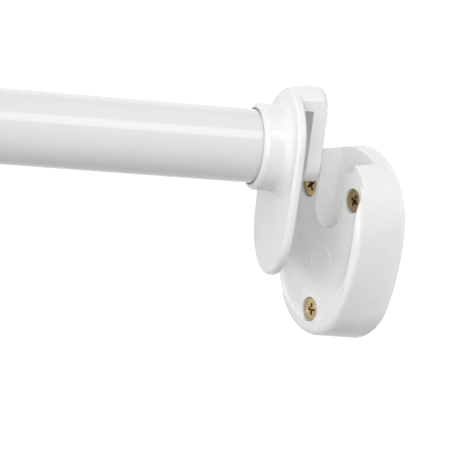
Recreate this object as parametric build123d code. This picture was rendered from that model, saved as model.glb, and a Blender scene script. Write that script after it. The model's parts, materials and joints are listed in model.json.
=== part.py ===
"""Telescopic curtain rod whose end flanges hook down into two wall brackets.

Frame: X runs along the rod from the left wall, Z is up and the room is at -Y.
The origin is the middle of the left bracket's wall face. Lengths are millimetres.
"""
from build123d import *
from math import cos, pi, sqrt
import os

# ---- driving dimensions ------------------------------------------------------
# rod
TUBE_OD = 25.4
TUBE_WALL = 1.0
INNER_OD = 22.0
INNER_WALL = 0.9
ROD_REST = 700.0          # left wall to the front of the right end plate
OUTER_LEN = 520.0
INNER_LEN = 520.0
AXIS_Z = 16.1             # rod axis above the bracket middle when hooked in
RUNNING = 0.05            # radial clearance of the sliding fits
TUBE_SEAT = 0.2           # tube end short of the bottom of its socket
BUSH_LEN, BUSH_LIP, BUSH_LIP_R = 18.0, 1.6, 0.6
GLIDE_LEN, GLIDE_WALL = 24.0, 1.6
SLEEVE_LIP, SLEEVE_LIP_H, SLEEVE_LIP_R = 1.2, 0.9, 0.8
SLEEVE_GAP = 0.2          # sleeve lip to the collar

# end flange, measured from the front of its plate towards the wall
PLATE_HALF_W = 19.5
PLATE_TOP, PLATE_LOW = 20.6, -44.2
PLATE_TOP_R, PLATE_LOW_R = 19.4, 18.6
PLATE_MID = -8.0          # height of the widest line
PLATE_T = 3.2
PLATE_EDGE_R, PLATE_BACK_R = 1.3, 0.9
COLLAR_R = 14.9
COLLAR_LEN = 9.8
COLLAR_LIP_R = 1.1
COLLAR_MOUTH = 0.6        # socket wall to the inner end of the lip's curve
COLLAR_FOOT_R = 3.0
SOCKET_GAP = 0.12         # tube to socket, radial
RELIEF, RELIEF_DEPTH = 0.5, 1.2   # wider lead-in at the socket's mouth
HOOK_HALF_W = 6.8
HOOK_X0 = 0.6
HOOK_FRONT_CREST = 21.0   # top of the arched hook above the rod axis, at its front end
HOOK_CREST = 22.4         # and at its highest place
HOOK_CREST_X = 7.5
HOOK_SHOULDER = 17.9      # where the arch meets the upright sides
HOOK_SHOULDER_RISE = 0.7  # the shoulder climbs by this much towards the wall
HOOK_REAR_R = 2.6
HOOK_STEPS = 4            # lengths between the sections that shape the dome
THROAT_TOP = 14.7         # top of the slot between plate and tongue
TONGUE_X0 = 8.4
TONGUE_X1 = 13.5
TONGUE_LOW = -10.7        # tip of the tongue below the rod axis
TONGUE_EDGE_R = 0.5

# wall bracket, depths measured from its front rim towards the wall
BRACKET_DEPTH = 18.8
BRACKET_MID = 5.0         # height of the widest line above the middle
FRONT_HALF_W, FRONT_TOP, FRONT_LOW = 22.8, 32.8, -32.7
FRONT_TOP_R, FRONT_LOW_R = 20.8, 17.5
BACK_HALF_W, BACK_TOP, BACK_LOW = 25.2, 33.9, -34.4
BACK_TOP_R, BACK_LOW_R = 24.6, 23.0
RIM_EDGE_R = 2.4
SWEEP_R = 280.0           # below the middle the front curves back towards the wall
LEDGE = 2.0               # seat of the flange plate
SEAT_FOOT_R = 1.0
RIM_FLARE, RIM_FLARE_DEPTH = 0.5, 1.2   # lead-in around the seat
FLARE_RUN_ON = 0.2        # share by which the lead-in's cutter runs on past both its ends
RAMP_LOW, RAMP_HIGH = 18.9, 22.9   # the rim slopes down to the floor between these heights
SEAT_GAP = 0.4            # around the plate
FLOOR = 4.1               # soft-edged dish in the seat
DISH_R, DISH_Z = 17.5, -1.3
DISH_TOP_HALF_W, DISH_TOP_Z = 18.6, 21.0
DISH_RISE, DISH_SLOPE_W = 2.45, 6.0   # height and width of its S-shaped side
DISH_START = 0.24         # share of the S that is cut off at the height of the seat
DISH_HALF = 0.38          # share of the S that lies outside the named outline
DISH_SINK = 0.5           # the lower end slopes out further than the sides by this share
DISH_STEPS = 6
CHANNEL = 12.3            # channel that takes the tongue
CHANNEL_HALF_W = 7.1
CHANNEL_LOW = 5.1
NOTCH_SIDE, NOTCH_Z = 11.5, 26.2   # the channel widens on one side above this height
NOTCH_R = 3.4
OPEN_TOP = 60.0           # cuts run out above the part
PROUD = 1.55              # plate stands out of the rim by this much
RING_R, RING_W, RING_H = 5.6, 0.7, 0.25
RING_Z = -6.9

# screws: 4 x 20 mm (No. 8) countersunk wood screws
SCREW_LEN = 20.0
NECK_R = 1.7
NECK_END = 16.2           # the thread starts here, just behind the wall face
THREAD_R = 2.0
TIP_LEN = 2.4
TIP_R = 0.15
HEAD_R = 3.95
HEAD_CONE = 2.6
HEAD_RIM = 0.35
HOLE_R = 2.35
SINK_R = 4.3
SINK_DEPTH = 1.2          # straight part of the countersink above the head
UPPER_Y, UPPER_Z = 12.5, 17.6
LOWER_Z = -24.1
CROSS_LEN, CROSS_W, CROSS_DEPTH = 4.4, 0.95, 1.7

# where the loose right bracket stands beside its flange
LOOSE_X, LOOSE_Y, LOOSE_Z = 16.9, -1.05, -31.92
LOOSE_TURN = 18.96        # degrees about the vertical

SOCKET_R = TUBE_OD / 2 + SOCKET_GAP
TUBE_BORE_R = TUBE_OD / 2 - TUBE_WALL
INNER_R = INNER_OD / 2
LEFT_PLATE_X = BRACKET_DEPTH + PROUD
INNER_X0 = LEFT_PLATE_X + TUBE_SEAT
INNER_X1 = INNER_X0 + INNER_LEN
OUTER_X1 = ROD_REST - TUBE_SEAT
OUTER_X0 = OUTER_X1 - OUTER_LEN


def side_radius(half_w, reach, end_r):
    """Radius of the long arc that meets an end arc tangentially."""
    return (half_w ** 2 + (reach - end_r) ** 2 - end_r ** 2) / (2 * (half_w - end_r))


def egg(half_w, top, low, top_r, low_r, mid):
    """Oval face in the YZ plane made of two end arcs and four long side arcs."""
    up, down = top - mid, mid - low
    s_up, s_down = side_radius(half_w, up, top_r), side_radius(half_w, down, low_r)

    def joint(side_r, reach, end_r):
        dy, dz = side_r - half_w, reach - end_r
        k = side_r / sqrt(dy ** 2 + dz ** 2)
        return dy * (k - 1), dz * k

    def arc_mid(side_r, y, z):
        """Middle of a side arc from the widest point to the joint (y, z)."""
        cy = half_w - side_r
        my, mz = (half_w + y) / 2 - cy, z / 2
        k = side_r / sqrt(my ** 2 + mz ** 2)
        return cy + my * k, mz * k

    jy, jz = joint(s_up, up, top_r)
    ky, kz = joint(s_down, down, low_r)
    ay, az = arc_mid(s_up, jy, jz)
    by, bz = arc_mid(s_down, ky, kz)

    def arc(p, q, r):
        return ThreePointArc(*[(0, y, z) for y, z in (p, q, r)])

    right_up = arc((half_w, mid), (ay, mid + az), (jy, mid + jz))
    cap = arc((jy, mid + jz), (0, top), (-jy, mid + jz))
    left_up = arc((-jy, mid + jz), (-ay, mid + az), (-half_w, mid))
    left_down = arc((-half_w, mid), (-by, mid - bz), (-ky, mid - kz))
    base = arc((-ky, mid - kz), (0, low), (ky, mid - kz))
    right_down = arc((ky, mid - kz), (by, mid - bz), (half_w, mid))
    return Face(Wire([right_up, cap, left_up, left_down, base, right_down]))


def slab(face, x0, x1):
    """Extrude a YZ face between two X positions."""
    return extrude(Pos(x0, 0, 0) * face, amount=x1 - x0, dir=(1, 0, 0))


def block(x0, x1, y0, y1, z0, z1):
    return Pos((x0 + x1) / 2, (y0 + y1) / 2, (z0 + z1) / 2) * Box(x1 - x0, y1 - y0, z1 - z0)


def rod_x(radius, x0, x1):
    return Pos((x0 + x1) / 2, 0, 0) * Rot(0, 90, 0) * Cylinder(radius, x1 - x0)


def pipe(outer_r, bore_r, x0, x1):
    return rod_x(outer_r, x0, x1) - rod_x(bore_r, x0 - 1, x1 + 1)


def u_slot(half_w, low, top, x0, x1):
    """Solid with upright sides and a half-round lower end."""
    centre = low + half_w
    return block(x0, x1, -half_w, half_w, centre, top) + Pos(0, 0, centre) * rod_x(half_w, x0, x1)


# ---- end flange --------------------------------------------------------------
def edges_at_x(shape, x, tol=0.01):
    return [e for e in shape.edges() if abs(e.bounding_box().min.X - x) < tol
            and abs(e.bounding_box().max.X - x) < tol]


def plate_face(grow=0.0):
    """Outline of the cover plate, grown by an even gap."""
    return egg(PLATE_HALF_W + grow, PLATE_TOP + grow, PLATE_LOW - grow,
               PLATE_TOP_R + grow, PLATE_LOW_R + grow, PLATE_MID)


def flange_plate():
    """Oval cover plate with a softened front edge."""
    plate = slab(plate_face(), 0, PLATE_T)
    plate = fillet(edges_at_x(plate, 0), PLATE_EDGE_R)
    return fillet(edges_at_x(plate, PLATE_T), PLATE_BACK_R)


def collar_blank():
    """Turned collar: rounded lip, parallel body and a foot that flares into the plate."""
    foot, lip_x = COLLAR_FOOT_R, 2 * COLLAR_LIP_R - COLLAR_LEN
    mouth = (-COLLAR_LEN, SOCKET_R + COLLAR_MOUTH)
    shoulder = (lip_x, COLLAR_R)
    bend = 1 - sqrt(0.5)
    lip_mid = (-COLLAR_LEN + (lip_x + COLLAR_LEN) * bend, COLLAR_R - (COLLAR_R - mouth[1]) * bend)
    foot_mid = (-foot * bend, COLLAR_R + foot * bend)
    with BuildPart() as turned:
        with BuildSketch(Plane.XY):
            with BuildLine():
                Polyline((-COLLAR_LEN, 0), (1.0, 0), (1.0, COLLAR_R + foot), (0, COLLAR_R + foot))
                ThreePointArc((0, COLLAR_R + foot), foot_mid, (-foot, COLLAR_R))
                Line((-foot, COLLAR_R), shoulder)
                ThreePointArc(shoulder, lip_mid, mouth)
                Line(mouth, (-COLLAR_LEN, 0))
            make_face()
        revolve(axis=Axis.X)
    return turned.part


def hook_section(x):
    """Arch-topped YZ face of the hook's bridge at one place along it."""
    half, root = HOOK_HALF_W, THROAT_TOP
    along = (x - HOOK_X0) / (TONGUE_X1 - HOOK_X0)
    shoulder = HOOK_SHOULDER + HOOK_SHOULDER_RISE * along
    crown = (x - HOOK_CREST_X) / (HOOK_CREST_X - HOOK_X0)
    crest = HOOK_CREST - (HOOK_CREST - HOOK_FRONT_CREST) * crown ** 2 * (crown < 0)
    left, right = (x, -half, shoulder), (x, half, shoulder)
    arch = ThreePointArc(left, (x, 0, crest), right)
    sides = Polyline(right, (x, half, root), (x, -half, root), left)
    return Face(Wire([arch, *sides.edges()]))


def hook():
    """Domed bridge over the throat and the round-tipped tongue that hangs from it."""
    step = (TONGUE_X1 - HOOK_X0) / HOOK_STEPS
    bridge = loft([hook_section(HOOK_X0 + step * k) for k in range(HOOK_STEPS + 1)])
    crest = max(edges_at_x(bridge, TONGUE_X1), key=lambda e: e.center().Z)
    bridge = fillet(crest, HOOK_REAR_R)
    tongue = u_slot(HOOK_HALF_W, TONGUE_LOW, THROAT_TOP, TONGUE_X0, TONGUE_X1)
    tip = [e for e in edges_at_x(tongue, TONGUE_X1) if e.bounding_box().max.Z < THROAT_TOP - 1]
    return bridge + fillet(tip, TONGUE_EDGE_R)


def end_flange(socket_r):
    """Flange in its own frame: plate front at x = 0, wall towards +x, rod axis z = 0."""
    bore = rod_x(socket_r, -COLLAR_LEN - 1, 0)
    lead_in = rod_x(socket_r + RELIEF, -COLLAR_LEN - 1, RELIEF_DEPTH - COLLAR_LEN)
    body = flange_plate() + collar_blank() + hook() - bore - lead_in
    return body.clean()


def place_left(shape):
    """Turn a flange-frame part to face the left wall, hooked in."""
    return Pos(LEFT_PLATE_X, 0, AXIS_Z) * Rot(0, 0, 180) * shape


def place_right(shape):
    return Pos(ROD_REST, 0, AXIS_Z) * shape


# ---- wall bracket ------------------------------------------------------------
def screw_places():
    """(name, y, z, depth of the surface that the countersink starts from)."""
    return [("upper_front", -UPPER_Y, UPPER_Z, FLOOR),
            ("upper_back", UPPER_Y, UPPER_Z, FLOOR),
            ("lower", 0.0, LOWER_Z, LEDGE)]


def sweep_cut():
    """Room in front of the lower half, bounded by an arc that leaves the front plane smoothly."""
    low = -OPEN_TOP
    back = SWEEP_R - sqrt(SWEEP_R ** 2 - low ** 2)
    mid = SWEEP_R - sqrt(SWEEP_R ** 2 - low ** 2 / 4)
    arc = ThreePointArc((0, 0, 0), (mid, 0, low / 2), (back, 0, low))
    sides = Polyline((back, 0, low), (-1, 0, low), (-1, 0, 0), (0, 0, 0))
    face = Face(Wire([arc, *sides.edges()]))
    return extrude(Pos(0, OPEN_TOP, 0) * face, amount=2 * OPEN_TOP, dir=(0, -1, 0))


def bracket_blank():
    """Tapered oval block with a rounded front edge."""
    front = egg(FRONT_HALF_W, FRONT_TOP, FRONT_LOW, FRONT_TOP_R, FRONT_LOW_R, BRACKET_MID)
    back = egg(BACK_HALF_W, BACK_TOP, BACK_LOW, BACK_TOP_R, BACK_LOW_R, BRACKET_MID)
    body = loft([front, Pos(BRACKET_DEPTH, 0, 0) * back], ruled=True) - sweep_cut()
    outline = [e for e in body.edges() if e.bounding_box().max.X < BRACKET_DEPTH / 2
               and e.bounding_box().size.Z > 0.1]
    return fillet(outline, RIM_EDGE_R)


def upright(x, half_w, z0, z1):
    """Rectangular YZ face at the given X."""
    face = Plane.YZ * Rectangle(2 * half_w, z1 - z0).face()
    return Pos(x, 0, (z0 + z1) / 2) * face


def seat_cut():
    """Recess for the flange plate. It is open upwards so that the plate can be lifted out."""
    half = PLATE_HALF_W + SEAT_GAP
    mid = AXIS_Z + PLATE_MID
    bowl = Pos(0, 0, AXIS_Z) * slab(plate_face(SEAT_GAP), -1, LEDGE)
    bowl = fillet(edges_at_x(bowl, LEDGE), SEAT_FOOT_R)
    shaft = block(-1, LEDGE, -half, half, mid, OPEN_TOP)
    wide, deep = (1 + FLARE_RUN_ON) * RIM_FLARE, (1 + FLARE_RUN_ON) * RIM_FLARE_DEPTH
    narrow, front = -FLARE_RUN_ON * RIM_FLARE, -FLARE_RUN_ON * RIM_FLARE_DEPTH
    flare = loft([Pos(front, 0, AXIS_Z) * plate_face(SEAT_GAP + wide),
                  Pos(deep, 0, AXIS_Z) * plate_face(SEAT_GAP + narrow)], ruled=True)
    flare += loft([upright(front, half + wide, mid, OPEN_TOP),
                   upright(deep, half + narrow, mid, OPEN_TOP)], ruled=True)
    slope = (RAMP_HIGH - RAMP_LOW) / FLOOR
    ramp = Polyline((-1, RAMP_LOW - slope), (FLOOR, RAMP_HIGH), (FLOOR, OPEN_TOP),
                    (-1, OPEN_TOP), (-1, RAMP_LOW - slope))
    side = Plane.XZ.offset(-OPEN_TOP) * make_face(ramp)
    return bowl + shaft + flare + extrude(side, amount=2 * OPEN_TOP)


def dish_face(grow):
    """U outline with flared sides and a round lower end."""
    low_r, top_half, centre = DISH_R + grow, DISH_TOP_HALF_W + grow, DISH_Z - DISH_SINK * grow
    left = [(0, -low_r, centre), (0, -top_half, DISH_TOP_Z), (0, -top_half, OPEN_TOP)]
    right = [(0, -y, z) for _, y, z in reversed(left)]
    rim = Polyline(*left, *right)
    base = ThreePointArc(right[-1], (0, 0, centre - low_r), left[0])
    return Face(Wire([*rim.edges(), base]))


def dish_cut():
    """Shallow dish whose soft sides run down from the seat to the floor."""
    steps = [dish_face(DISH_SLOPE_W * (DISH_HALF - DISH_START))]
    for step in range(DISH_STEPS + 1):
        t = DISH_START + (1 - DISH_START) * step / DISH_STEPS
        depth = FLOOR - DISH_RISE * (1 + cos(pi * t)) / 2
        steps.append(Pos(depth, 0, 0) * dish_face(DISH_SLOPE_W * (DISH_HALF - t)))
    return loft(steps, ruled=True)


def channel_cut():
    slot = u_slot(CHANNEL_HALF_W, CHANNEL_LOW, OPEN_TOP, 0, CHANNEL)
    notch = block(0, CHANNEL, -NOTCH_SIDE, 0, NOTCH_Z, OPEN_TOP)
    corner = min(notch.edges().filter_by(Axis.X), key=lambda e: e.center().Y + e.center().Z)
    return slot + fillet(corner, NOTCH_R)


def screw_cut(y, z, depth):
    """Clearance hole with a countersink that starts at the given depth."""
    rim = depth + SINK_DEPTH
    cone = Pos(rim + HEAD_CONE / 2, 0, 0) * Rot(0, 90, 0) * Cone(SINK_R, HOLE_R, HEAD_CONE)
    return Pos(0, y, z) * (rod_x(HOLE_R, 0, BRACKET_DEPTH + 1) + rod_x(SINK_R, 0, rim) + cone)


def bracket():
    """Bracket in its own frame: front rim at x = 0, wall face at x = BRACKET_DEPTH."""
    body = bracket_blank() - seat_cut() - dish_cut() - channel_cut()
    for _, y, z, depth in screw_places():
        body -= screw_cut(y, z, depth)
    ring = Pos(0, 0, RING_Z) * pipe(RING_R, RING_R - RING_W, FLOOR - RING_H, FLOOR + 0.2)
    return (body + ring).clean()


def screw():
    """Countersunk screw along +x with its head top at x = 0."""
    head_end = HEAD_RIM + HEAD_CONE
    thread_end = SCREW_LEN - TIP_LEN
    with BuildPart() as turned:
        with BuildSketch(Plane.XY):
            with BuildLine():
                Polyline((0, 0), (0, HEAD_R), (HEAD_RIM, HEAD_R), (head_end, NECK_R),
                         (NECK_END, NECK_R), (NECK_END, THREAD_R), (thread_end, THREAD_R),
                         (SCREW_LEN, TIP_R), (SCREW_LEN, 0), (0, 0))
            make_face()
        revolve(axis=Axis.X)
    body = turned.part
    for turn in (0, 90):
        body -= Rot(turn, 0, 0) * block(-0.1, CROSS_DEPTH, -CROSS_LEN / 2, CROSS_LEN / 2,
                                        -CROSS_W / 2, CROSS_W / 2)
    return body


def place_left_bracket(shape):
    return Pos(BRACKET_DEPTH, 0, 0) * Rot(0, 0, 180) * shape


def place_right_bracket(shape):
    return Pos(ROD_REST + LOOSE_X, LOOSE_Y, AXIS_Z + LOOSE_Z) * Rot(0, 0, LOOSE_TURN) * shape


# ---- tubes -------------------------------------------------------------------
def on_axis(shape):
    return Pos(0, 0, AXIS_Z) * shape


def outer_tube():
    return on_axis(pipe(TUBE_OD / 2, TUBE_BORE_R, OUTER_X0, OUTER_X1))


def inner_tube():
    return on_axis(pipe(INNER_R, INNER_R - INNER_WALL, INNER_X0, INNER_X1))


def mouth_bush():
    """Plastic bush pressed into the outer tube's mouth; the inner tube runs through it."""
    bore = INNER_R + RUNNING
    sleeve = pipe(TUBE_BORE_R, bore, OUTER_X0 - BUSH_LIP, OUTER_X0 + BUSH_LEN)
    lip = pipe(TUBE_OD / 2, bore, OUTER_X0 - BUSH_LIP, OUTER_X0)
    rim = [e for e in edges_at_x(lip, OUTER_X0 - BUSH_LIP) if e.radius > INNER_R + 1]
    return on_axis(sleeve + fillet(rim, BUSH_LIP_R))


def glide():
    """Plastic glide plugged into the inner tube's free end; it runs in the outer tube."""
    ring_r = TUBE_BORE_R - RUNNING
    bore = INNER_R - INNER_WALL - GLIDE_WALL
    spigot = pipe(INNER_R - INNER_WALL, bore, INNER_X1 - GLIDE_LEN / 2, INNER_X1)
    collar = pipe(ring_r, bore, INNER_X1, INNER_X1 + GLIDE_LEN / 2)
    return on_axis(spigot + collar)


def reducer_sleeve():
    """Fills the left socket, which is sized for the outer tube, around the inner tube."""
    lip_x0 = LEFT_PLATE_X + COLLAR_LEN + SLEEVE_GAP
    lip_x1 = lip_x0 + SLEEVE_LIP
    body = pipe(TUBE_OD / 2, INNER_R, INNER_X0, lip_x1)
    lip = pipe(TUBE_OD / 2 + SLEEVE_LIP_H, INNER_R, lip_x0, lip_x1)
    rim = [e for e in edges_at_x(lip, lip_x1) if e.radius > INNER_R + 1]
    return on_axis(body + fillet(rim, SLEEVE_LIP_R))


def main():
    os.makedirs("parts", exist_ok=True)
    nodes = {}
    nodes["left_wall_bracket"] = place_left_bracket(bracket())
    nodes["right_wall_bracket"] = place_right_bracket(bracket())
    nodes["left_end_flange"] = place_left(end_flange(SOCKET_R))
    nodes["right_end_flange"] = place_right(end_flange(SOCKET_R))
    nodes["outer_tube"] = outer_tube()
    nodes["inner_tube"] = inner_tube()
    nodes["tube_mouth_bush"] = mouth_bush()
    nodes["inner_tube_glide"] = glide()
    nodes["reducer_sleeve"] = reducer_sleeve()
    for name, y, z, depth in screw_places():
        one = Pos(depth + SINK_DEPTH - HEAD_RIM, y, z) * screw()
        nodes["left_screw_" + name] = place_left_bracket(one)
        nodes["right_screw_" + name] = place_right_bracket(one)
    for name, shape in nodes.items():
        export_step(shape, "parts/" + name + ".step")


main()
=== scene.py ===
"""Looks for the telescopic curtain rod: materials, detailed screws, light and camera."""
import bpy
import json
from math import cos, pi, sin
from mathutils import Matrix, Vector


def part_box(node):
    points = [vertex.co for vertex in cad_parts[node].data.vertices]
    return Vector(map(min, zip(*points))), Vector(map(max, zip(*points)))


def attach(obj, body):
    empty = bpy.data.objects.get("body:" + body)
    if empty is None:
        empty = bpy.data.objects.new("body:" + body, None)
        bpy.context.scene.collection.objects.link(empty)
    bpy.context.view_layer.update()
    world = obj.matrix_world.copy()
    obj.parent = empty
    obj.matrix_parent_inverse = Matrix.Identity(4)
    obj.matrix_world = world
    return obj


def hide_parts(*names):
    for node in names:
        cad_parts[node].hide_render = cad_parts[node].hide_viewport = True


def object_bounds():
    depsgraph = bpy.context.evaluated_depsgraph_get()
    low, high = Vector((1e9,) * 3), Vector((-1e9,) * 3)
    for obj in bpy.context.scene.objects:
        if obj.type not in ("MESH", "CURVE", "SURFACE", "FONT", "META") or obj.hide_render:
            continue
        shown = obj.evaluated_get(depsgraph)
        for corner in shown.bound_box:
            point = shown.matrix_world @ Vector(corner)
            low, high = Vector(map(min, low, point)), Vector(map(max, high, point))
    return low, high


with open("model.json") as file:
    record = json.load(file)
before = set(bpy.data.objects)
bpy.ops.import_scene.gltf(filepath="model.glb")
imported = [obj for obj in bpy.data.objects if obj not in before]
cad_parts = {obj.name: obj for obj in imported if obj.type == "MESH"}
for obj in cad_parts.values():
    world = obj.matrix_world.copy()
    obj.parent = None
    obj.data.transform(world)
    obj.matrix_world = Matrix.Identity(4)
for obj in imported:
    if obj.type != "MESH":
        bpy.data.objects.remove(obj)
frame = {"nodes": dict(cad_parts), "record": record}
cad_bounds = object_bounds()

MM = 0.001
SIDES = ("left", "right")

# ---- sizes shared with the solids, in metres ---------------------------------------
BRACKET_DEPTH = 18.8 * MM
TUBE_SEAT = 0.2 * MM      # tube's end to the plate's front, at the bottom of the socket
SCREWS = {                # sideways offset, height and depth of the head in the bracket's frame
    "upper_front": (-12.5 * MM, 17.6 * MM, 4.95 * MM),
    "upper_back": (12.5 * MM, 17.6 * MM, 4.95 * MM),
    "lower": (0.0, -24.1 * MM, 2.85 * MM),
}
SCREW_LEN = 20.0 * MM
HEAD_R = 3.95 * MM
HEAD_RIM = 0.35 * MM      # straight rim of the head
HEAD_CONE = 2.6 * MM      # height of the cone under it
NECK = HEAD_RIM + HEAD_CONE
TIP_LEN = 2.4 * MM

# ---- details that only the looks have ----------------------------------------------
CORE_R = 1.45 * MM
CREST_R = 1.95 * MM
PITCH = 1.4 * MM
RIDGE_SHARE = 0.28        # half-width of the thread's ridge, as a share of the pitch
THREAD_LEAD = 0.6 * MM    # plain shank between the neck and the thread
TIP_R = 0.1 * MM
TIP_BULGE = 0.8           # below 1 the tip is rounder than a cone
RECESS_R = 2.2 * MM       # reach of the cross wings
RECESS_W = 0.5 * MM       # half-width of a wing at the middle
RECESS_TAPER = 0.25       # share of that half-width lost towards the wing's end
RECESS_WALL = 0.12 * MM   # width of a wing's sloping wall
RECESS_DEEP = 1.7 * MM
RECESS_SHELF = 0.45       # share of the depth that a wing keeps near its end
RECESS_SLOPE = 0.8        # and how fast it deepens towards the middle
RECESS_END = 7.0          # steepness of the wing's end wall
HEAD_EDGE = 0.1 * MM      # broken edge around the head's face
FIRST_TURN, NEXT_TURN = 0.35, 0.55   # how far each screw was driven round, in radians
SMOOTH_BELOW = 0.7        # edges sharper than this angle stay sharp, in radians
AROUND, FACE_RINGS, SHANK_RINGS = 72, 44, 150

# ---- colours, linear ---------------------------------------------------------------
BRACKET_WHITE = (0.85, 0.85, 0.85)
FLANGE_WHITE = (0.835, 0.835, 0.835)
BEARING_WHITE = (0.74, 0.735, 0.72)
ENAMEL_DARK, ENAMEL_LIGHT = (0.715, 0.715, 0.717), (0.745, 0.745, 0.747)
ZINC_BROWN, ZINC_GOLD, ZINC_GREEN = (0.38, 0.25, 0.11), (0.50, 0.37, 0.19), (0.42, 0.35, 0.22)
ZINC_WORN = (0.70, 0.58, 0.38)
# painted shade: near-black mixed into the zinc where ambient occlusion finds the cross recess
# and narrow gaps
ZINC_RECESS_SHADE = (0.05, 0.03, 0.012)

nodes = frame["nodes"]
mounts = {m["name"]: m for m in frame["record"]["mounts"]}
tube_low, tube_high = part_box("outer_tube")
plate = Vector((tube_high[0] + TUBE_SEAT, 0.0, (tube_low[2] + tube_high[2]) / 2))


# ---- node helpers ------------------------------------------------------------------
def empty_material(name):
    """A material with nothing in it but its output node."""
    mat = bpy.data.materials.new(name)
    mat.use_nodes = True
    tree = mat.node_tree
    tree.nodes.clear()
    return mat, tree, tree.nodes.new("ShaderNodeOutputMaterial")


def new_material(name):
    """A material with its Principled shader."""
    mat, tree, out = empty_material(name)
    shader = tree.nodes.new("ShaderNodeBsdfPrincipled")
    tree.links.new(shader.outputs["BSDF"], out.inputs["Surface"])
    return mat, tree, shader


def object_coords(tree, scale=(1, 1, 1)):
    """Object coordinates in metres, stretched by scale."""
    coord = tree.nodes.new("ShaderNodeTexCoord")
    mapping = tree.nodes.new("ShaderNodeMapping")
    mapping.inputs["Scale"].default_value = scale
    tree.links.new(coord.outputs["Object"], mapping.inputs["Vector"])
    return mapping.outputs["Vector"]


def noise(tree, vector, scale, detail=3.0, rough=0.5):
    """Noise about 0.5; scale is in cells per metre."""
    node = tree.nodes.new("ShaderNodeTexNoise")
    node.inputs["Scale"].default_value = scale
    node.inputs["Detail"].default_value = detail
    node.inputs["Roughness"].default_value = rough
    tree.links.new(vector, node.inputs["Vector"])
    return node.outputs["Fac"]


def ranged(tree, value, low, high, start=0.3, end=0.7):
    """value from start..end mapped on to low..high."""
    node = tree.nodes.new("ShaderNodeMapRange")
    node.inputs["From Min"].default_value = start
    node.inputs["From Max"].default_value = end
    node.inputs["To Min"].default_value = low
    node.inputs["To Max"].default_value = high
    tree.links.new(value, node.inputs["Value"])
    return node.outputs["Result"]


def ramp(tree, value, *stops):
    """Colour ramp through (position, colour) stops."""
    node = tree.nodes.new("ShaderNodeValToRGB")
    band = node.color_ramp
    while len(band.elements) < len(stops):
        band.elements.new(0.5)
    for element, (place, colour) in zip(band.elements, stops):
        element.position = place
        element.color = (*colour, 1.0)
    tree.links.new(value, node.inputs["Fac"])
    return node.outputs["Color"]


def mixed(tree, fac, a, b):
    """Mix two colours; fac, a and b are sockets or plain values."""
    node = tree.nodes.new("ShaderNodeMix")
    node.data_type = "RGBA"
    if hasattr(fac, "is_linked"):
        tree.links.new(fac, node.inputs[0])
    else:
        node.inputs[0].default_value = fac
    for socket, value in ((node.inputs[6], a), (node.inputs[7], b)):
        if hasattr(value, "is_linked"):
            tree.links.new(value, socket)
        else:
            socket.default_value = (*value, 1.0)
    return node.outputs[2]


def bump(tree, shader, height, strength, distance):
    """Bump the shader's normal by height; distance is in metres."""
    node = tree.nodes.new("ShaderNodeBump")
    node.inputs["Strength"].default_value = strength
    node.inputs["Distance"].default_value = distance
    tree.links.new(height, node.inputs["Height"])
    tree.links.new(node.outputs["Normal"], shader.inputs["Normal"])


def edge_mask(tree, low, high):
    """Rises from 0 to 1 on outward corners."""
    geometry = tree.nodes.new("ShaderNodeNewGeometry")
    return ranged(tree, geometry.outputs["Pointiness"], 0.0, 1.0, low, high)


def occlusion_shade(tree, reach, start, end):
    """Mask for painted shade: 1 in narrow gaps and recesses, falling to 0 on open surfaces."""
    node = tree.nodes.new("ShaderNodeAmbientOcclusion")
    node.samples = 12
    node.inputs["Distance"].default_value = reach
    return ranged(tree, node.outputs["AO"], 1.0, 0.0, start, end)


# ---- materials ---------------------------------------------------------------------
FLOW_SHADE = 0.965               # darker drifts in moulded plastic, as a share of its colour
FLOW_WARM = (1.0, 0.995, 0.975)  # warmer drifts, channel by channel
RUBBED = 1.03                    # brighter corners
GLOSS_SPREAD = (0.75, 1.45)      # roughness varies between these shares of its mean


def moulded_plastic(name, colour, gloss, grain):
    """White injection-moulded plastic: faint flow mottling, fine skin texture, rubbed corners.

    gloss is the mean roughness and grain the strength of the skin texture.
    """
    mat, tree, shader = new_material(name)
    space = object_coords(tree)
    flow = noise(tree, space, scale=45.0, detail=4.0)
    shade = tuple(c * FLOW_SHADE for c in colour)
    warm = tuple(c * share for c, share in zip(colour, FLOW_WARM))
    base = ramp(tree, flow, (0.3, shade), (0.55, colour), (0.75, warm))
    bright = tuple(min(1, c * RUBBED) for c in colour)
    rubbed = mixed(tree, edge_mask(tree, 0.515, 0.56), base, bright)
    tree.links.new(rubbed, shader.inputs["Base Color"])
    smear = noise(tree, object_coords(tree, (1, 1, 0.35)), scale=160.0, detail=5.0, rough=0.6)
    low, high = (gloss * share for share in GLOSS_SPREAD)
    tree.links.new(ranged(tree, smear, low, high), shader.inputs["Roughness"])
    skin = noise(tree, space, scale=900.0, detail=2.0)
    bump(tree, shader, skin, strength=grain, distance=0.06 * MM)
    shader.inputs["IOR"].default_value = 1.5
    shader.inputs["Subsurface Weight"].default_value = 0.05
    shader.inputs["Subsurface Radius"].default_value = (1.5 * MM, 1.3 * MM, 1.2 * MM)
    return mat


def stove_enamel():
    """Glossy white enamel on a drawn tube: long faint draw lines and tiny dust nibs."""
    mat, tree, shader = new_material("tube_enamel")
    lines = noise(tree, object_coords(tree, (0.03, 1, 1)), scale=420.0)
    cloud = noise(tree, object_coords(tree), scale=18.0)
    base = ramp(tree, cloud, (0.3, ENAMEL_DARK), (0.7, ENAMEL_LIGHT))
    tree.links.new(base, shader.inputs["Base Color"])
    tree.links.new(ranged(tree, lines, 0.06, 0.1), shader.inputs["Roughness"])
    nibs = noise(tree, object_coords(tree), scale=700.0, detail=1.0)
    bump(tree, shader, mixed(tree, 0.3, lines, nibs), strength=0.08, distance=0.05 * MM)
    shader.inputs["Coat Weight"].default_value = 0.4
    shader.inputs["Coat Roughness"].default_value = 0.03
    return mat


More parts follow.
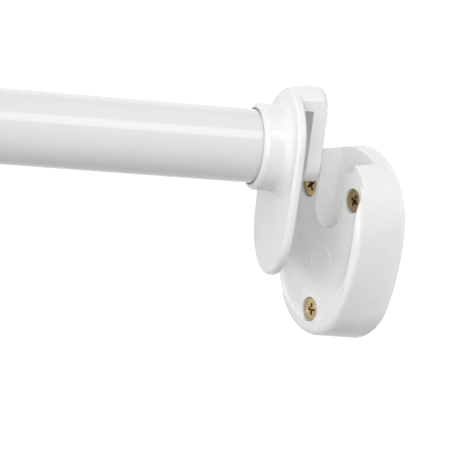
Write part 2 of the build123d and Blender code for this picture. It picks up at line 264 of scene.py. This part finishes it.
def yellow_zinc():
    """Yellow passivated zinc: brassy with brown and green drifts, worn corners, and painted
    shade darkening the cross recess and narrow gaps.
    """
    mat, tree, shader = new_material("screw_yellow_zinc")
    space = object_coords(tree)
    drift = noise(tree, space, scale=260.0)
    base = ramp(tree, drift, (0.3, ZINC_BROWN), (0.5, ZINC_GOLD), (0.72, ZINC_GREEN))
    worn = mixed(tree, edge_mask(tree, 0.52, 0.6), base, ZINC_WORN)
    # painted shade: the cross recess and narrow gaps are darkened towards near-black by ambient
    # occlusion
    recess_shade = occlusion_shade(tree, reach=1.2 * MM, start=0.35, end=0.8)
    tree.links.new(mixed(tree, recess_shade, worn, ZINC_RECESS_SHADE), shader.inputs["Base Color"])
    shader.inputs["Metallic"].default_value = 1.0
    grit = noise(tree, space, scale=1500.0, detail=4.0)
    tree.links.new(ranged(tree, grit, 0.28, 0.5), shader.inputs["Roughness"])
    bump(tree, shader, grit, strength=0.2, distance=0.05 * MM)
    return mat


bracket_plastic = moulded_plastic("bracket_white_gloss", BRACKET_WHITE, gloss=0.2, grain=0.1)
flange_plastic = moulded_plastic("flange_white_gloss", FLANGE_WHITE, gloss=0.17, grain=0.08)
bearing_plastic = moulded_plastic("bearing_offwhite", BEARING_WHITE, gloss=0.4, grain=0.25)
tube_enamel = stove_enamel()
screw_zinc = yellow_zinc()


def dress(name, material):
    """Give every material slot of a CAD node the material."""
    for place in nodes[name].material_slots:
        place.material = material


for side in SIDES:
    dress(side + "_wall_bracket", bracket_plastic)
    dress(side + "_end_flange", flange_plastic)
for name in ("tube_mouth_bush", "inner_tube_glide", "reducer_sleeve"):
    dress(name, bearing_plastic)
for name in ("outer_tube", "inner_tube"):
    dress(name, tube_enamel)


# ---- screws ------------------------------------------------------------------------
def recess_depth(r, turn):
    """Depth of the cross recess at a polar place on the head."""
    u, v = abs(r * cos(turn)), abs(r * sin(turn))
    along, across = max(u, v), min(u, v)
    if along >= RECESS_R:
        return 0.0
    fall = 1 - along / RECESS_R
    half = RECESS_W * (1 - RECESS_TAPER + RECESS_TAPER * fall)
    wall = min(1.0, max(0.0, (half + RECESS_WALL - across) / RECESS_WALL))
    deep = min(1.0, RECESS_SHELF + RECESS_SLOPE * fall)
    return wall * RECESS_DEEP * deep * min(1.0, fall * RECESS_END)


def thread_radius(x, turn):
    """Radius of the shank with its helical thread."""
    tip = max(0.0, (x - (SCREW_LEN - TIP_LEN)) / TIP_LEN)
    phase = (x / PITCH - turn / (2 * pi)) % 1.0
    ridge = max(0.0, 1 - abs(phase - 0.5) / RIDGE_SHARE)
    fade = min(1.0, max(0.0, (x - NECK - THREAD_LEAD) / PITCH))
    radius = CORE_R + (CREST_R - CORE_R) * ridge * fade
    return max(TIP_R, radius * (1 - tip) ** TIP_BULGE)


def screw_rings():
    """Rings of points from the recess centre out, down the cone and along the thread."""
    turns = [2 * pi * k / AROUND for k in range(AROUND)]
    for step in range(1, FACE_RINGS + 1):
        r = (HEAD_R - HEAD_EDGE) * step / FACE_RINGS
        yield [(recess_depth(r, t), r, t) for t in turns]
    for x, r in ((HEAD_EDGE, HEAD_R), (HEAD_RIM, HEAD_R), (NECK, CORE_R)):
        yield [(x, r, t) for t in turns]
    for step in range(1, SHANK_RINGS + 1):
        x = NECK + (SCREW_LEN - NECK) * step / SHANK_RINGS
        yield [(x, thread_radius(x, t), t) for t in turns]


def screw_mesh():
    """One countersunk cross-head screw along +X with its head's top at the origin."""
    rings = list(screw_rings())
    points = [(RECESS_DEEP, 0.0, 0.0)]
    for ring in rings:
        points += [(x, r * cos(t), r * sin(t)) for x, r, t in ring]
    points.append((SCREW_LEN, 0.0, 0.0))
    pairs = [(k, (k + 1) % AROUND) for k in range(AROUND)]
    starts = [1 + n * AROUND for n in range(len(rings))]
    faces = [(starts[0] + after, starts[0] + k, 0) for k, after in pairs]
    for a, b in zip(starts, starts[1:]):
        faces += [(a + after, b + after, b + k, a + k) for k, after in pairs]
    faces += [(starts[-1] + after, len(points) - 1, starts[-1] + k) for k, after in pairs]
    mesh = bpy.data.meshes.new("cross_head_screw")
    mesh.from_pydata(points, [], faces)
    mesh.validate()
    mesh.polygons.foreach_set("use_smooth", [True] * len(mesh.polygons))
    mesh.set_sharp_from_angle(angle=SMOOTH_BELOW)
    return mesh


def bracket_frame(side):
    """Matrix of a bracket's own frame: origin on the rim plane, +X into the wall."""
    wall = mounts[side + "_wall_face"]
    x_axis = Vector(wall["axis"]).normalized()
    up = Vector((0, 0, 1))
    origin = Vector(wall["pos_m"]) - x_axis * BRACKET_DEPTH
    turn = Matrix((x_axis, up.cross(x_axis), up)).transposed().to_4x4()
    return Matrix.Translation(origin) @ turn


for side in SIDES:
    for index, (place, (y, z, depth)) in enumerate(SCREWS.items()):
        mesh = screw_mesh()
        driven = Matrix.Rotation(FIRST_TURN + NEXT_TURN * index, 4, "X")
        mesh.transform(bracket_frame(side) @ Matrix.Translation((depth, y, z)) @ driven)
        mesh.materials.append(screw_zinc)
        piece = bpy.data.objects.new(side + "_cross_head_" + place, mesh)
        bpy.context.scene.collection.objects.link(piece)
        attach(piece, side + "_bracket")
        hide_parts(side + "_screw_" + place)


# ---- floor and background ----------------------------------------------------------
FLOOR_DROP = 0.42                # floor below the object, in metres
FLOOR_REACH = 9.0                # half-width of the floor
FLOOR_LIT = (0.2, 0.2, 0.2)      # its tint for the light that it throws back on the object
FLOOR_SEEN = (0.5, 0.5, 0.5)     # and for the rays that look at it
FLOOR_GLOW = 0.76                # lifts the floor that is looked at to white


def sees_backdrop(tree):
    """1 for the rays that show the plain background: camera, glossy and transmission rays."""
    path = tree.nodes.new("ShaderNodeLightPath")
    total = path.outputs["Is Camera Ray"]
    for name in ("Is Glossy Ray", "Is Transmission Ray"):
        larger = tree.nodes.new("ShaderNodeMath")
        larger.operation = "MAXIMUM"
        tree.links.new(total, larger.inputs[0])
        tree.links.new(path.outputs[name], larger.inputs[1])
        total = larger.outputs[0]
    return total


def floor_material():
    """Pale matt floor that reads as white to the camera but keeps shadows."""
    mat, tree, out = empty_material("studio_floor")
    matt = tree.nodes.new("ShaderNodeBsdfDiffuse")
    glow = tree.nodes.new("ShaderNodeEmission")
    both = tree.nodes.new("ShaderNodeAddShader")
    seen = sees_backdrop(tree)
    tree.links.new(mixed(tree, seen, FLOOR_LIT, FLOOR_SEEN), matt.inputs["Color"])
    tree.links.new(ranged(tree, seen, 0.0, FLOOR_GLOW, 0.0, 1.0), glow.inputs["Strength"])
    tree.links.new(matt.outputs[0], both.inputs[0])
    tree.links.new(glow.outputs[0], both.inputs[1])
    tree.links.new(both.outputs[0], out.inputs["Surface"])
    return mat


def studio_floor():
    """One large square below the object, centred on the rod's middle."""
    z = cad_bounds[0][2] - FLOOR_DROP
    middle = (cad_bounds[0][0] + cad_bounds[1][0]) / 2
    corners = [(middle + sx * FLOOR_REACH, sy * FLOOR_REACH, z)
               for sx, sy in ((-1, -1), (1, -1), (1, 1), (-1, 1))]
    mesh = bpy.data.meshes.new("floor")
    mesh.from_pydata(corners, [], [(0, 1, 2, 3)])
    mesh.materials.append(floor_material())
    floor = bpy.data.objects.new("floor", mesh)
    bpy.context.scene.collection.objects.link(floor)


studio_floor()

# ---- light -------------------------------------------------------------------------
SOFTBOXES = {             # offset from the right plate, width, height and watts
    "key": ((0.4, -1.1, 1.1), 0.75, 0.7, 3.1),
    "front_fill": ((-0.6, -1.45, 0.15), 1.0, 0.8, 7.6),
    "left_fill": ((-1.5, -0.6, 0.35), 1.2, 1.4, 7.8),
    "back_fill": ((0.1, 1.4, 0.9), 1.6, 1.0, 1.5),
}
HORIZON_GLOW = 0.92       # ambient strength level with the object
ZENITH_GLOW = 0.62        # and straight above it
AMBIENT_GREY = (0.99, 0.99, 0.99, 1)


def softbox(name, offset, width, height, watts):
    """Rectangular area lamp at an offset from the right plate, aimed at it."""
    data = bpy.data.lights.new(name, "AREA")
    data.shape = "RECTANGLE"
    data.size, data.size_y = width, height
    data.energy = watts
    lamp = bpy.data.objects.new(name, data)
    lamp.location = plate + Vector(offset)
    lamp.rotation_euler = (-Vector(offset)).to_track_quat("-Z", "Y").to_euler()
    bpy.context.scene.collection.objects.link(lamp)


def studio_world():
    """White to look at; as ambient light a grey that fades from the horizon upwards."""
    world = bpy.data.worlds.new("studio")
    bpy.context.scene.world = world
    world.use_nodes = True
    sky = world.node_tree
    sky.nodes.clear()
    out = sky.nodes.new("ShaderNodeOutputWorld")
    backdrop = sky.nodes.new("ShaderNodeBackground")
    ambient = sky.nodes.new("ShaderNodeBackground")
    backdrop.inputs["Color"].default_value = (1, 1, 1, 1)
    ambient.inputs["Color"].default_value = AMBIENT_GREY
    direction = sky.nodes.new("ShaderNodeTexCoord")
    height = sky.nodes.new("ShaderNodeSeparateXYZ")
    sky.links.new(direction.outputs["Generated"], height.inputs[0])
    strength = ranged(sky, height.outputs["Z"], HORIZON_GLOW, ZENITH_GLOW, 0.0, 1.0)
    sky.links.new(strength, ambient.inputs["Strength"])
    choose = sky.nodes.new("ShaderNodeMixShader")
    sky.links.new(sees_backdrop(sky), choose.inputs["Fac"])
    sky.links.new(ambient.outputs[0], choose.inputs[1])
    sky.links.new(backdrop.outputs[0], choose.inputs[2])
    sky.links.new(choose.outputs[0], out.inputs["Surface"])


for name, (offset, width, height, watts) in SOFTBOXES.items():
    softbox(name, offset, width, height, watts)
studio_world()

# ---- camera ------------------------------------------------------------------------
CAMERA_OFFSET = Vector((-0.26458, -0.78845, 0.14057))   # from the plate's front, on the rod axis
CAMERA_RIGHT = Vector((0.95332, -0.27348, 0.12801))
CAMERA_UP = Vector((-0.06491, 0.22842, 0.97140))
CAMERA_BACK = Vector((-0.29490, -0.93436, 0.20000))
LENS, SENSOR = 196.64, 36.0      # millimetres
CLIP_START = 50 * MM


def studio_camera():
    """Long lens that looks at the right end from the front and a little above."""
    data = bpy.data.cameras.new("camera")
    data.sensor_width = SENSOR
    data.lens = LENS
    data.clip_start = CLIP_START
    camera = bpy.data.objects.new("camera", data)
    turn = Matrix((CAMERA_RIGHT, CAMERA_UP, CAMERA_BACK)).transposed().to_4x4()
    camera.matrix_world = Matrix.Translation(plate + CAMERA_OFFSET) @ turn
    bpy.context.scene.collection.objects.link(camera)
    bpy.context.scene.camera = camera


studio_camera()
bpy.context.scene.view_settings.view_transform = "Standard"
